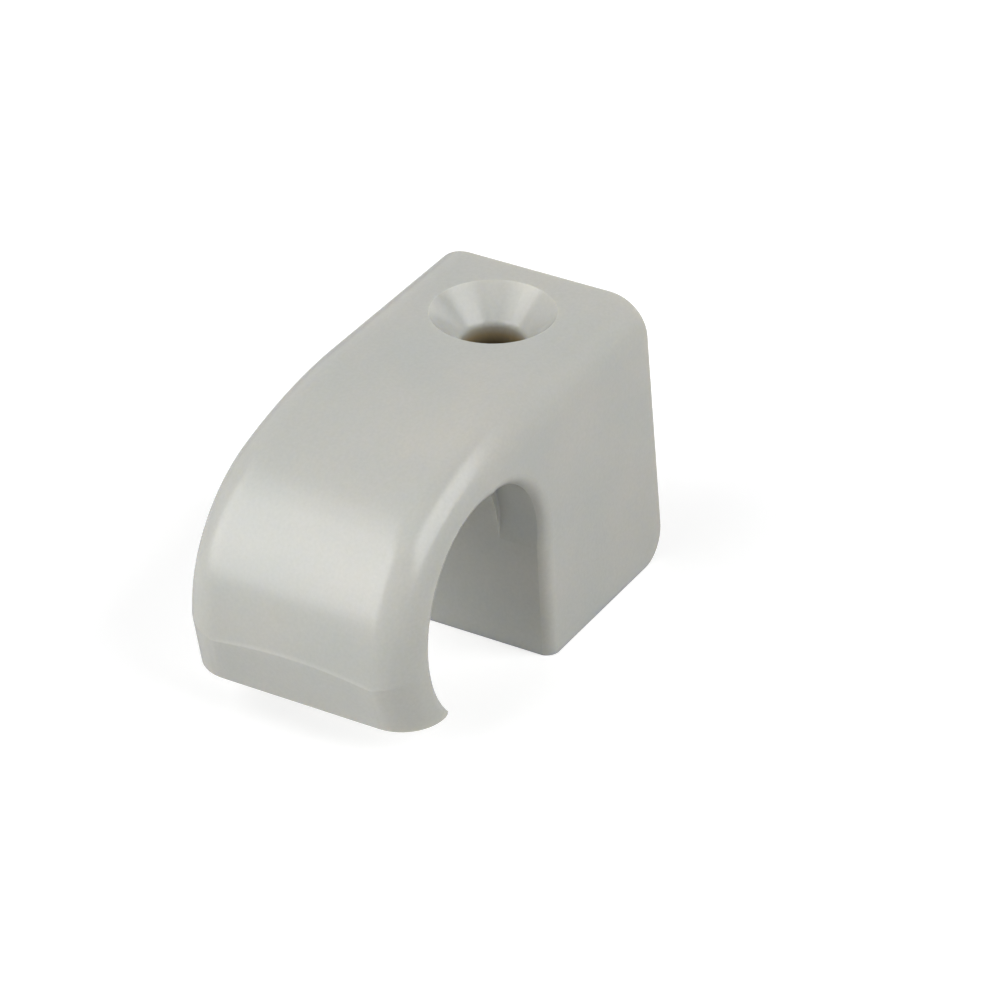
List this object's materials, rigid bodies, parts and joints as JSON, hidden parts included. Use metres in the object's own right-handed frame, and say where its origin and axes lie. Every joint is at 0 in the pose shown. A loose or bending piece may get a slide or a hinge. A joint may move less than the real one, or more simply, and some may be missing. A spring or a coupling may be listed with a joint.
{
  "type": "cable clamp",
  "caption": "Moulded plastic cable clamp: a drafted block with a countersunk screw hole and a rounded hook that arches over a cable and holds it against a wall.",
  "frame": {"origin": "where the screw axis meets the wall plane, on the block's flat base", "axes": "+Z along the screw axis, away from the wall; Y along the cable; -X from the block towards the hook"},
  "size_m": [0.0308, 0.017, 0.0185],
  "materials": {
    "clamp_body": "satin moulded light grey plastic"
  },
  "bodies": {
    "root": {"clamp_body": "clamp_body"}
  },
  "joints": []
}
